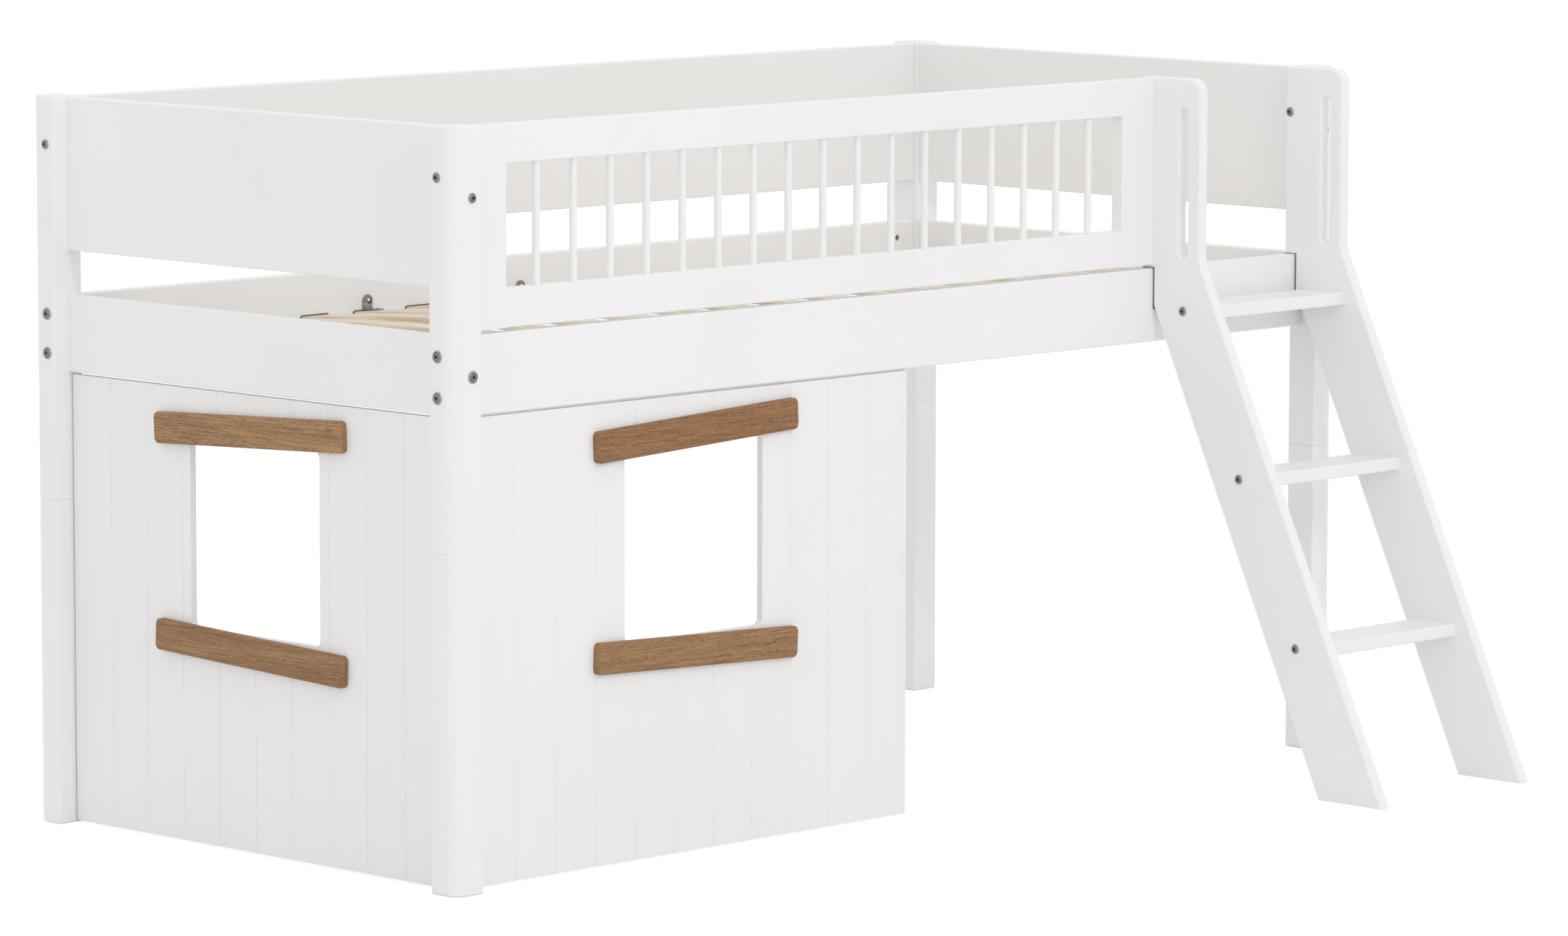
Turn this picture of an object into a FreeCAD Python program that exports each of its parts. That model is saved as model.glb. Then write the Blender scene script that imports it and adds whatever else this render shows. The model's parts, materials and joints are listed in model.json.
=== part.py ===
"""A child's mid-high bed: posts in two lengths, boards and rails bolted between them,
a guard with round balusters, a leaning ladder, sprung slats in the side rails and two
grooved play panels with windows.

Millimetres.  +X runs along the bed, -Y is the side with the ladder, +Z is up.
The origin lies on the floor, under the middle of the whole outline, ladder included.
"""
import FreeCAD
import Part
import Sketcher
import math
import os
import re

# Driving sizes, one sheet cell each
SIZES = {
    # Frame
    "bed_length": 2103,
    "bed_width": 1015,
    "bed_height": 1200,
    "post_side": 58,
    "post_corner": 26,
    "leg_height": 537,
    "joint_bevel": 1,
    "end_bevel": 2.5,
    "edge_bevel": 2,
    "edge_round": 3,
    "fit_clearance": 0.3,
    "end_clearance": 0.4,
    # Boards and rails
    "board_thickness": 22,
    "board_setback": 6.5,
    "board_drop": 2,
    "board_height": 251,
    "board_gap": 73.5,
    "rail_height": 126,
    # Guard
    "guard_gap": 6,
    "guard_stile": 80,
    "guard_bar": 62,
    "baluster_count": 17,
    "baluster_diameter": 12,
    "baluster_tenon": 14,
    # Ladder
    "upright_thickness": 22,
    "upright_width": 127,
    "upright_corner": 25,
    "upright_back": 0.5,
    "ladder_overhang": 75,
    "ladder_lean": 25,
    "knee_rise": 16.5,
    "knee_round": 60,
    "heel_round": 15,
    "grip_width": 20,
    "grip_rise": 21.5,
    "grip_drop": 50.6,
    "grip_setback": 37,
    "grip_roundness": 0.95,
    "rim_bevel": 3,
    "grip_bevel": 3,
    "tread_count": 3,
    "tread_length": 350,
    "tread_depth": 90,
    "tread_thickness": 22,
    "tread_first": 250,
    "tread_drop": 70.3,
    "tread_setback": 32,
    "hook_thickness": 2,
    "hook_width": 20,
    "hook_drop": 72,
    "hook_back": 20,
    "hook_bend": 3.5,
    # Slats
    "slat_count": 17,
    "slat_end_gap": 7.5,
    "slat_width": 60,
    "slat_thickness": 8,
    "slat_camber": 22,
    "slat_level": 45.5,
    "mortise_depth": 9,
    "clip_width": 22,
    "clip_height": 28,
    "clip_foot": 30,
    "clip_thickness": 2,
    "clip_round": 10.5,
    # Play panels
    "panel_thickness": 12,
    "panel_setback": 11,
    "panel_gap": 3.5,
    "panel_floor_gap": 4,
    "panel_rail_gap": 4,
    "front_panel_width": 987,
    "groove_pitch": 88.2,
    "groove_width": 3,
    "groove_depth": 1.5,
    "window_width": 311,
    "window_bottom": 354,
    "window_drop": 76.5,
    "window_corner": 12,
    "bracket_thickness": 3,
    "bracket_height": 30,
    "bracket_reach": 43,
    "bracket_recess": 1,
    "bracket_bend": 2.7,
    "bracket_low": 69,
    "bracket_high": 463,
    "rail_bracket_step": 300,
    "rail_bracket_recess": 8,
    # Oak trims over and under the windows
    "trim_length": 453,
    "trim_height": 51,
    "trim_thickness": 13,
    "trim_corner": 9,
    "trim_bevel": 3,
    "end_trim_shift": 5.5,
    "front_trim_shift": 1.5,
    "top_trim_rise": 18,
    "top_trim_tilt": 2.6,
    "bottom_trim_fall": 24.5,
    "bottom_trim_tilt": 2.2,
}

# Sizes that follow from the driving ones
DERIVED = {
    "knee_height": "rail_top + knee_rise",
    "foot_reach": "ladder_overhang + knee_height * tan(ladder_lean)",
    "left": "-bed_length / 2",
    "front": "(foot_reach - bed_width) / 2",
    "back": "front + bed_width",
    "post_right": "left + post_side",
    "post_back": "front + post_side",
    "side_span": "bed_length - 2 * post_side",
    "end_span": "bed_width - 2 * post_side",
    "board_inset": "post_side - board_setback - board_thickness",
    "board_left": "left + board_inset",
    "board_front": "front + board_inset",
    "board_inner": "board_front + board_thickness",
    "board_middle": "board_front + board_thickness / 2",
    "board_top": "bed_height - board_drop",
    "board_bottom": "board_top - board_height",
    "rail_top": "board_bottom - board_gap",
    "rail_bottom": "rail_top - rail_height",
    "guard_bottom": "rail_top + guard_gap",
    "guard_height": "board_top - guard_bottom",
    "ladder_right": "-left - post_side",
    "ladder_left": "ladder_right - tread_length - 2 * upright_thickness",
    "ladder_middle": "(ladder_left + ladder_right) / 2",
    "guard_right": "ladder_left",
    "guard_span": "guard_right - post_right - 2 * guard_stile",
    "baluster_space": "(guard_span - baluster_count * baluster_diameter) / (baluster_count + 1)",
    "baluster_pitch": "baluster_space + baluster_diameter",
    "baluster_opening": "guard_height - 2 * guard_bar",
    "notch_y": "board_inset - hook_thickness",
    "notch_z": "rail_top + hook_thickness",
    "foot_width": "upright_width / cos(ladder_lean)",
    "heel_height": "(notch_y + foot_reach - foot_width) / tan(ladder_lean)",
    "back_edge": "board_inset + board_thickness + upright_back",
    "grip_front": "grip_setback - ladder_overhang - grip_width / 2",
    "grip_low": "rail_top + grip_rise",
    "grip_high": "bed_height - grip_drop",
    "grip_end_round": "grip_roundness * grip_width / 2",
    "tread_pitch": "(rail_top - tread_drop - tread_first) / (tread_count - 1)",
    "slat_bottom": "rail_bottom + slat_level",
    "slat_top": "slat_bottom + slat_thickness",
    "slat_span": "bed_width - 2 * board_inset - 2 * board_thickness",
    "slat_length": "slat_span + 2 * mortise_depth - 2 * end_clearance",
    "slat_radius": "(slat_span * slat_span / 4 + slat_camber * slat_camber) / (2 * slat_camber)",
    "slat_slope": "slat_span / 2 / slat_radius",
    "slat_dip": "mortise_depth * slat_slope",
    "slat_pitch": "(side_span - slat_width - 2 * slat_end_gap) / (slat_count - 1)",
    "first_slat": "-(slat_count - 1) / 2 * slat_pitch",
    "panel_top": "rail_bottom - panel_rail_gap",
    "panel_height": "panel_top - panel_floor_gap",
    "panel_inset": "post_side - panel_setback - panel_thickness",
    "window_top": "panel_top - window_drop",
    "top_trim_level": "window_top + top_trim_rise",
    "bottom_trim_level": "window_bottom - bottom_trim_fall",
    "end_panel_width": "end_span - 2 * panel_gap",
    "panel_left": "post_right + panel_gap",
    "panel_back": "back - post_side - panel_gap",
    "end_panel_x": "left + panel_inset",
    "front_panel_y": "front + panel_inset",
    "window_x": "panel_left + front_panel_width / 2",
    "window_y": "panel_back - end_panel_width / 2",
}

ONTO_X = ((0, 1, 0), 90)
QUARTER_TURN = ((0, 0, 1), -90)
HALF_TURN = ((1, 0, 0), 180)
X_MIRROR = (1, 0, 0)
Y_MIRROR = (0, 1, 0)
AS_DRAWN = ((0, 0, 1), 0)
TOUCH = 0.001
CLIPPED_SLATS = (3, 6, 9)
DOC = FreeCAD.newDocument("MidSleeperBed")
NODES = []


# Sheet and formulas

def write_sheet():
    """Put every driving size into the sheet under its own name."""
    sheet = DOC.addObject("Spreadsheet::Sheet", "Sizes")
    for row, (alias, number) in enumerate(SIZES.items(), start=1):
        sheet.set(f"A{row}", alias)
        sheet.set(f"B{row}", str(number))
        sheet.setAlias(f"B{row}", alias)
    DOC.recompute()


def formula(text):
    """Spell a formula out in sheet cells."""
    def spell(match):
        name = match.group(0)
        if name in DERIVED:
            return "(" + formula(DERIVED[name]) + ")"
        return "Sizes." + name if name in SIZES else name
    return re.sub(r"[a-z][a-z_]*", spell, text)


def bind(thing, **sizes):
    """Tie properties of an object to formulas."""
    for name, text in sizes.items():
        thing.setExpression(name, formula(text))


def place(thing, x="0", y="0", z="0", turn=AS_DRAWN):
    """Turn an object, then tie its position to formulas."""
    axis, angle = turn
    rotation = FreeCAD.Rotation(FreeCAD.Vector(*axis), angle)
    thing.Placement = FreeCAD.Placement(FreeCAD.Vector(), rotation)
    for letter, text in zip("xyz", (x, y, z)):
        thing.setExpression(f"Placement.Base.{letter}", formula(text))
    return thing


def node(thing, label):
    """Name an object as one sub-part of the bed."""
    thing.Label = label
    NODES.append(thing)
    return thing


# Sketches

def new_body(name):
    """An empty body."""
    return DOC.addObject("PartDesign::Body", name)


def new_sketch(body, plane):
    """A sketch on one of the body's own origin planes."""
    sketch = body.newObject("Sketcher::SketchObject", body.Name + "_sketch")
    support = [part for part in body.Origin.OriginFeatures if part.Role == plane][0]
    sketch.AttachmentSupport = (support, [""])
    sketch.MapMode = "FlatFace"
    return sketch


def tie(sketch, constraint, text):
    """Add a constraint whose size is a formula."""
    index = sketch.addConstraint(constraint)
    sketch.setExpression(f"Constraints[{index}]", formula(text))


def hold_point(sketch, geometry, end, x, y):
    """Hold one point of a sketch at two formulas."""
    tie(sketch, Sketcher.Constraint("DistanceX", -1, 1, geometry, end, 1.0), x)
    tie(sketch, Sketcher.Constraint("DistanceY", -1, 1, geometry, end, 1.0), y)


def polygon(body, plane, points):
    """A closed outline through corners given as formulas."""
    sketch = new_sketch(body, plane)
    count = len(points)
    ring = []
    for corner in range(count):
        turn = 2 * math.pi * corner / count
        ring.append(FreeCAD.Vector(math.cos(turn), math.sin(turn)))
    for corner in range(count):
        sketch.addGeometry(Part.LineSegment(ring[corner], ring[(corner + 1) % count]))
    for corner in range(count):
        following = (corner + 1) % count
        sketch.addConstraint(Sketcher.Constraint("Coincident", corner, 2, following, 1))
    for corner, (x, y) in enumerate(points):
        hold_point(sketch, corner, 1, x, y)
    return sketch


def rectangle(x, y, width, height):
    """Corners of a rectangle from its lower left one."""
    right = f"{x} + {width}"
    top = f"{y} + {height}"
    return [(x, y), (right, y), (right, top), (x, top)]


def circle(body, plane, x, y, diameter):
    """A round outline."""
    sketch = new_sketch(body, plane)
    sketch.addGeometry(Part.Circle(FreeCAD.Vector(), FreeCAD.Vector(0, 0, 1), 1))
    hold_point(sketch, 0, 3, x, y)
    tie(sketch, Sketcher.Constraint("Diameter", 0, 2.0), diameter)
    return sketch


# Features

def feature_of(body, kind, sketch, reverse):
    """A pad, pocket or revolution on a sketch."""
    feature = body.newObject("PartDesign::" + kind, body.Name + "_" + kind)
    feature.Profile = sketch
    feature.Reversed = reverse
    return feature


def pad(body, sketch, length, reverse=False):
    """Raise a sketch into a solid."""
    feature = feature_of(body, "Pad", sketch, reverse)
    bind(feature, Length=length)
    DOC.recompute()
    return feature


def bent(body, sketch, angle):
    """Swing a sketch about its level axis, by half the angle to each side."""
    feature = feature_of(body, "Revolution", sketch, False)
    feature.ReferenceAxis = (sketch, ["H_Axis"])
    feature.Midplane = True
    bind(feature, Angle=angle)
    DOC.recompute()
    return feature


def pocket(body, sketch, depth=None, reverse=False):
    """Cut a sketch into the body, right through unless a depth is given."""
    before = body.Shape.Volume
    feature = feature_of(body, "Pocket", sketch, reverse)
    if depth is None:
        feature.Type = "ThroughAll"
    else:
        bind(feature, Length=depth)
    DOC.recompute()
    if feature.Shape.Volume >= before:
        raise ValueError(f"{feature.Name} cuts nothing")
    return feature


def row_of(body, feature, sketch, count, pitch):
    """Repeat a feature along its sketch's level axis."""
    pattern = body.newObject("PartDesign::LinearPattern", body.Name + "_row")
    pattern.Originals = [feature]
    pattern.Direction = (sketch, ["H_Axis"])
    bind(pattern, Occurrences=count, Length=f"({count} - 1) * {pitch}")
    body.Tip = pattern
    DOC.recompute()
    return pattern


def dress(body, kind, base, names, size):
    """Round or bevel the named edges of a feature."""
    feature = body.newObject("PartDesign::" + kind, body.Name + "_" + kind)
    feature.Base = (base, names)
    if kind == "Fillet":
        bind(feature, Radius=size)
    else:
        bind(feature, Size=size)
    DOC.recompute()
    return feature


def edges(feature, test):
    """Names of the edges that pass a test."""
    numbered = enumerate(feature.Shape.Edges, start=1)
    return [f"Edge{number}" for number, edge in numbered if test(edge)]


def edges_along(feature, axis):
    """Names of the straight edges that run along X, Y or Z."""
    def runs(edge):
        box = edge.BoundBox
        spans = {"x": box.XLength, "y": box.YLength, "z": box.ZLength}
        length = spans.pop(axis)
        return length > TOUCH and max(spans.values()) < TOUCH
    return edges(feature, runs)


def edges_at_height(feature, top):
    """Names of the edges in a feature's top or bottom plane."""
    whole = feature.Shape.BoundBox

    def level(edge):
        box = edge.BoundBox
        if top:
            return box.ZMin > whole.ZMax - TOUCH
        return box.ZMax < whole.ZMin + TOUCH
    return edges(feature, level)


def corner_edges(feature, sketch, corners):
    """Names of the edges that numbered corners of a sketch left on a feature."""
    into_sketch = sketch.Placement.inverse()
    spots = [sketch.getPoint(corner, 1) for corner in corners]

    def on_corner(edge):
        ends = [into_sketch.multVec(vertex.Point) for vertex in edge.Vertexes]
        for spot in spots:
            if all(math.hypot(end.x - spot.x, end.y - spot.y) < TOUCH for end in ends):
                return True
        return False
    return edges(feature, on_corner)


# Pieces that are used again and again

def plank(name, length, depth, height, grain):
    """A board with rounded edges along its grain."""
    body = new_body(name)
    blank = pad(body, polygon(body, "XY_Plane", rectangle("0", "0", length, depth)), height)
    dress(body, "Fillet", blank, edges_along(blank, grain), "edge_round")
    return body


def rod(x, y, z, diameter, length):
    """An upright round bar."""
    cylinder = DOC.addObject("Part::Cylinder", "rod")
    bind(cylinder, Radius=f"{diameter} / 2", Height=length)
    return place(cylinder, x, y, z)


def mirrored(source, normal, **base):
    """A mirror image of an object."""
    image = DOC.addObject("Part::Mirroring", source.Name + "_image")
    image.Source = source
    image.Normal = FreeCAD.Vector(*normal)
    for letter, text in base.items():
        image.setExpression(f"Base.{letter}", formula(text))
    return image


def other_end(source):
    """The mirror image at the bed's other end."""
    return mirrored(source, X_MIRROR)


def other_side(source):
    """The mirror image at the bed's other side."""
    return mirrored(source, Y_MIRROR, y="(front + back) / 2")


def other_upright(source):
    """The mirror image on the ladder's other upright."""
    return mirrored(source, X_MIRROR, x="ladder_middle")


def four_corners(source):
    """A piece of the front left corner and its images at the other three."""
    right = other_end(source)
    return [source, right, other_side(source), other_side(right)]


def compound(things, name):
    """Several separate solids as one object."""
    bundle = DOC.addObject("Part::Compound", name)
    bundle.Links = things
    return bundle


def group(things, label):
    """Several separate solids as one sub-part."""
    return node(compound(things, label), label)


def linked(master, x, y, z, turn=AS_DRAWN):
    """One more copy of a small part."""
    link = DOC.addObject("App::Link", "copy")
    link.LinkedObject = master
    return place(link, x, y, z, turn)


# Posts

def post_body(name, height, joint_on_top):
    """A square post with one well rounded corner and a fine bevel at its joint."""
    body = new_body(name)
    outline = polygon(body, "XY_Plane", rectangle("0", "0", "post_side", "post_side"))
    base = pad(body, outline, height)
    base = dress(body, "Fillet", base, corner_edges(base, outline, [0]), "post_corner")
    base = dress(body, "Chamfer", base, corner_edges(base, outline, [1, 2, 3]), "edge_bevel")
    base = dress(body, "Chamfer", base, edges_at_height(base, joint_on_top), "joint_bevel")
    dress(body, "Chamfer", base, edges_at_height(base, not joint_on_top), "end_bevel")
    return body


def build_posts():
    """Four posts and the four legs under them."""
    corners = ("front_left", "front_right", "back_left", "back_right")
    post = post_body("post", "bed_height - leg_height", joint_on_top=False)
    place(post, "left", "front", "leg_height")
    for piece, corner in zip(four_corners(post), corners):
        node(piece, "post_" + corner)
    leg = post_body("leg", "leg_height", joint_on_top=True)
    place(leg, "left", "front")
    for piece, corner in zip(four_corners(leg), corners):
        node(piece, "leg_" + corner)


# Rails and boards

def build_side_rails():
    """The two long rails, each with a row of mortises for the slats."""
    body = plank("side_rail", "side_span", "board_thickness", "rail_height", "x")
    left = "side_span / 2 + first_slat - slat_width / 2 - fit_clearance / 2"
    bottom = "slat_level - slat_dip - fit_clearance / 2"
    size = ("slat_width + fit_clearance", "slat_thickness + slat_dip + fit_clearance")
    mortise = polygon(body, "XZ_Plane", rectangle(left, bottom, *size))
    mortise.setExpression("AttachmentOffset.Base.z", formula("-board_thickness"))
    cut = pocket(body, mortise, "mortise_depth", reverse=True)
    row_of(body, cut, mortise, "slat_count", "slat_pitch")
    place(body, "post_right", "board_front", "rail_bottom")
    node(body, "side_rail_front")
    node(other_side(body), "side_rail_back")


def end_piece(name, height, bottom):
    """A rail or board across each end of the bed."""
    body = plank(name, "board_thickness", "end_span", height, "y")
    place(body, "board_left", "post_back", bottom)
    node(body, name + "_left")
    node(other_end(body), name + "_right")


def build_boards():
    """End rails, end boards and the board along the back."""
    end_piece("end_rail", "rail_height", "rail_bottom")
    end_piece("end_board", "board_height", "board_bottom")
    body = plank("back_plank", "side_span", "board_thickness", "board_height", "x")
    place(body, "post_right", "back - board_inset - board_thickness", "board_bottom")
    node(body, "back_board")


# Guard

def guard_bar(name, hole_depth):
    """A guard bar with a row of bores for the balusters in its lower face."""
    body = plank(name + "_body", "guard_span", "board_thickness", "guard_bar", "x")
    first = "baluster_space + baluster_diameter / 2"
    diameter = "baluster_diameter + fit_clearance"
    bore = circle(body, "XY_Plane", first, "board_thickness / 2", diameter)
    cut = pocket(body, bore, hole_depth, reverse=True)
    row_of(body, cut, bore, "baluster_count", "baluster_pitch")
    return node(body, name)


def build_guard_frame():
    """Two square-edged stiles, flush with the two bars between them."""
    corners = rectangle("0", "0", "guard_stile", "board_thickness")
    for side, x in (("left", "post_right"), ("right", "guard_right - guard_stile")):
        name = "guard_stile_" + side
        stile = new_body(name + "_body")
        pad(stile, polygon(stile, "XY_Plane", corners), "guard_height")
        node(place(stile, x, "board_front", "guard_bottom"), name)
    start = "post_right + guard_stile"
    top = guard_bar("guard_top_rail", "baluster_tenon + end_clearance")
    place(top, start, "board_front", "board_top - guard_bar")
    low = guard_bar("guard_bottom_rail", "baluster_tenon")
    place(low, start, "board_inner", "guard_bottom + guard_bar", HALF_TURN)


def build_balusters():
    """Round bars between the guard's top and bottom rails."""
    bottom = "guard_bottom + guard_bar - baluster_tenon"
    length = "baluster_opening + 2 * baluster_tenon"
    first = "post_right + guard_stile + baluster_space + baluster_diameter / 2"
    bars = []
    for number in range(SIZES["baluster_count"]):
        x = f"{first} + {number} * baluster_pitch"
        bars.append(rod(x, "board_middle", bottom, "baluster_diameter", length))
    group(bars, "guard_balusters")


# Ladder

def tread_level(number):
    """Height of the middle of a tread."""
    return f"(tread_first + {number} * tread_pitch)"


def tread_line(number):
    """Where the middle line of a tread lies from front to back."""
    edge = f"front - foot_reach + {tread_level(number)} * tan(ladder_lean)"
    return f"({edge} + tread_setback + tread_depth / 2)"


def upright_outline(body):
    """The bent side of the ladder, with the notch that sits over the side rail."""
    return polygon(body, "YZ_Plane", [
        ("-foot_reach", "0"),
        ("foot_width - foot_reach", "0"),
        ("notch_y", "heel_height"),
        ("notch_y", "notch_z"),
        ("back_edge", "notch_z"),
        ("back_edge", "bed_height"),
        ("-ladder_overhang", "bed_height"),
        ("-ladder_overhang", "knee_height"),
    ])


def rim_edges(feature, sketch, notch):
    """Edges of both side faces, without the notch and the foot."""
    whole = feature.Shape.BoundBox
    into_sketch = sketch.Placement.inverse()
    corner = sketch.getPoint(notch, 1)

    def on_rim(edge):
        box = edge.BoundBox
        if box.XLength > TOUCH or box.ZMax < whole.ZMin + TOUCH:
            return False
        for vertex in edge.Vertexes:
            end = into_sketch.multVec(vertex.Point)
            if math.hypot(end.x - corner.x, end.y - corner.y) < TOUCH:
                return False
        return True
    return edges(feature, on_rim)


def edges_within(feature, sketch):
    """Edges on the side faces that lie inside a sketch's outline box."""
    frame = sketch.Shape.BoundBox

    def within(edge):
        box = edge.BoundBox
        across = box.YMin > frame.YMin - TOUCH and box.YMax < frame.YMax + TOUCH
        upward = box.ZMin > frame.ZMin - TOUCH and box.ZMax < frame.ZMax + TOUCH
        return across and upward and box.XLength < TOUCH
    return edges(feature, within)


def build_uprights():
    """The two sides of the ladder, each with rounded knees and a hand grip."""
    body = new_body("upright")
    outline = upright_outline(body)
    base = pad(body, outline, "upright_thickness")
    for corner, radius in ((6, "upright_corner"), (7, "knee_round"), (2, "heel_round")):
        base = dress(body, "Fillet", base, corner_edges(base, outline, [corner]), radius)
    base = dress(body, "Chamfer", base, rim_edges(base, outline, 3), "rim_bevel")
    corners = rectangle("grip_front", "grip_low", "grip_width", "grip_high - grip_low")
    grip = polygon(body, "YZ_Plane", corners)
    base = pocket(body, grip, reverse=True)
    base = dress(body, "Fillet", base, corner_edges(base, grip, range(4)), "grip_end_round")
    dress(body, "Chamfer", base, edges_within(base, grip), "grip_bevel")
    place(body, "ladder_left", "front")
    node(body, "ladder_upright_left")
    node(other_upright(body), "ladder_upright_right")


def build_treads():
    """The steps of the ladder."""
    for number in range(SIZES["tread_count"]):
        name = f"ladder_tread_{number + 1}"
        body = plank(name + "_body", "tread_length", "tread_depth", "tread_thickness", "x")
        x = "ladder_left + upright_thickness"
        y = f"{tread_line(number)} - tread_depth / 2"
        place(body, x, y, f"{tread_level(number)} - tread_thickness / 2")
        node(body, name)


def build_hooks():
    """Steel hooks that carry the ladder on the side rail."""
    body = new_body("hook")
    inner = "board_inset + board_thickness"
    outer = f"{inner} + hook_thickness"
    outline = polygon(body, "YZ_Plane", [
        ("notch_y", "notch_z - hook_drop"),
        ("board_inset", "notch_z - hook_drop"),
        ("board_inset", "rail_top"),
        (inner, "rail_top"),
        (inner, "rail_top - hook_back"),
        (outer, "rail_top - hook_back"),
        (outer, "notch_z"),
        ("notch_y", "notch_z"),
    ])
    base = pad(body, outline, "hook_width")
    dress(body, "Fillet", base, corner_edges(base, outline, [6, 7]), "hook_bend")
    place(body, "ladder_left + (upright_thickness - hook_width) / 2", "front", "0")
    node(body, "ladder_hook_left")
    node(other_upright(body), "ladder_hook_right")


# Slats

def build_slats():
    """Sprung slats, bent upwards between the mortises of the side rails."""
    angle = "2 * asin(slat_length / 2 / (slat_radius + slat_thickness))"
    corners = rectangle("-slat_width / 2", "slat_radius", "slat_width", "slat_thickness")
    for number in range(SIZES["slat_count"]):
        name = f"slat_{number + 1:02d}"
        body = new_body(name + "_body")
        bent(body, polygon(body, "XZ_Plane", corners), angle)
        x = f"first_slat + {number} * slat_pitch"
        z = "slat_bottom + slat_camber - slat_radius"
        node(place(body, x, "(front + back) / 2", z), name)


def clip_master():
    """An angle clip: a rounded leg against the rail and a foot that follows the slat."""
    body = new_body("clip")
    tip = "clip_foot * slat_slope"
    outline = polygon(body, "YZ_Plane", [
        ("0", "0"),
        ("clip_foot", tip),
        ("clip_foot", f"{tip} + clip_thickness"),
        ("clip_thickness", "clip_thickness * (1 + slat_slope)"),
        ("clip_thickness", "clip_height"),
        ("0", "clip_height"),
    ])
    base = pad(body, outline, "clip_width")
    top = edges_at_height(base, True)
    tips = [name for name in edges_along(base, "y") if name in top]
    dress(body, "Fillet", base, tips, "clip_round")
    return body


def build_clips():
    """Clips that tie some of the slats to the side rails."""
    master = clip_master()
    clips = []
    for number in CLIPPED_SLATS:
        x = f"first_slat + {number - 1} * slat_pitch - clip_width / 2"
        clips.append(linked(master, x, "board_inner", "slat_top + fit_clearance / 2"))
    front_clips = compound(clips, "front_clips")
    group([front_clips, other_side(front_clips)], "slat_clips")


# Play panels

def play_panel(name, width):
    """A panel with upright V grooves in its face and a window with round corners."""
    body = new_body(name + "_body")
    slab = polygon(body, "XY_Plane", rectangle("0", "0", width, "panel_thickness"))
    pad(body, slab, "panel_height")
    sill = "window_bottom - panel_floor_gap"
    height = "window_top - window_bottom"
    corners = rectangle(f"({width} - window_width) / 2", sill, "window_width", height)
    window = polygon(body, "XZ_Plane", corners)
    base = pocket(body, window)
    dress(body, "Fillet", base, corner_edges(base, window, range(4)), "window_corner")
    groove_count = f"(floor(({width} - 2 * groove_width) / groove_pitch) + 1)"
    first = f"({width} - ({groove_count} - 1) * groove_pitch) / 2"
    groove = polygon(body, "XY_Plane", [
        (f"{first} - groove_width / 2", "0"),
        (f"{first} + groove_width / 2", "0"),
        (first, "groove_depth"),
    ])
    cut = pocket(body, groove, reverse=True)
    row_of(body, cut, groove, groove_count, "groove_pitch")
    return node(body, name)


def build_panels():
    """One panel across the end and one under the front rail."""
    end = play_panel("play_panel_end", "end_panel_width")
    place(end, "end_panel_x", "panel_back", "panel_floor_gap", QUARTER_TURN)
    front = play_panel("play_panel_front", "front_panel_width")
    place(front, "panel_left", "front_panel_y", "panel_floor_gap")


def trim(name, plane, toward, level, tilt, x, y):
    """An oak strip laid a little askew on a panel."""
    body = new_body(name + "_body")
    corners = rectangle("-trim_length / 2", "-trim_height / 2", "trim_length", "trim_height")
    outline = polygon(body, plane, corners)
    base = pad(body, outline, "trim_thickness", reverse=plane == "YZ_Plane")
    base = dress(body, "Fillet", base, corner_edges(base, outline, range(4)), "trim_corner")
    outer = base.Shape.BoundBox

    def on_face(edge):
        box = edge.BoundBox
        if plane == "YZ_Plane":
            return box.XMax < outer.XMin + TOUCH
        return box.YMax < outer.YMin + TOUCH
    dress(body, "Chamfer", base, edges(base, on_face), "trim_bevel")
    place(body, x, y, level, (toward, 1))
    body.setExpression("Placement.Rotation.Angle", formula(tilt))
    node(body, name)


def build_trims():
    """Strips over and under both windows, high and low at the right-hand end."""
    rows = (
        ("top", "top_trim_level", "top_trim_tilt"),
        ("bottom", "bottom_trim_level", "-bottom_trim_tilt"),
    )
    for row, level, tilt in rows:
        end_y = "window_y + end_trim_shift"
        trim(f"trim_end_{row}", "YZ_Plane", (-1, 0, 0), level, tilt, "end_panel_x", end_y)
        front_x = "window_x + front_trim_shift"
        trim(f"trim_front_{row}", "XZ_Plane", (0, -1, 0), level, tilt, front_x, "front_panel_y")


def bracket_master(name, recess):
    """A flat angle that reaches into the gap at a panel's edge and lies on its back."""
    body = new_body(name)
    outline = polygon(body, "XY_Plane", [
        ("0", recess),
        ("bracket_thickness", recess),
        ("bracket_thickness", "panel_thickness"),
        ("bracket_reach", "panel_thickness"),
        ("bracket_reach", "panel_thickness + bracket_thickness"),
        ("0", "panel_thickness + bracket_thickness"),
    ])
    base = pad(body, outline, "bracket_height")
    dress(body, "Fillet", base, corner_edges(base, outline, [5]), "bracket_bend")
    return body


def build_brackets():
    """Angles that hold the panels to the posts and the front panel to its rail."""
    edge_angle = bracket_master("edge_angle", "bracket_recess")
    rail_angle = bracket_master("rail_angle", "rail_bracket_recess")
    edge_brackets = []
    front_brackets = []
    for level in ("bracket_low", "bracket_high"):
        bottom = f"{level} - bracket_height / 2"
        spot = ("end_panel_x", "back - post_side", bottom)
        edge_brackets.append(linked(edge_angle, *spot, QUARTER_TURN))
        spot = ("post_right", "front_panel_y", bottom)
        front_brackets.append(linked(edge_angle, *spot))
    for step in (1, 2):
        x = f"panel_left + front_panel_width - {step} * rail_bracket_step + bracket_height"
        front_brackets.append(linked(rail_angle, x, "front_panel_y", "rail_bottom", ONTO_X))
    back_pair = compound(edge_brackets, "end_brackets")
    group([back_pair, other_side(back_pair)] + front_brackets, "panel_brackets")


# Checking and writing

def check_document():
    """Stop if any object failed or any sub-part has no sound shape."""
    for thing in DOC.Objects:
        if "Invalid" in thing.State or "Error" in thing.State:
            raise ValueError(f"{thing.Name} ({thing.Label}) failed: {thing.State}")
    for thing in NODES:
        if thing.Shape.isNull() or not thing.Shape.isValid():
            raise ValueError(f"{thing.Label} has no sound shape")


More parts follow.
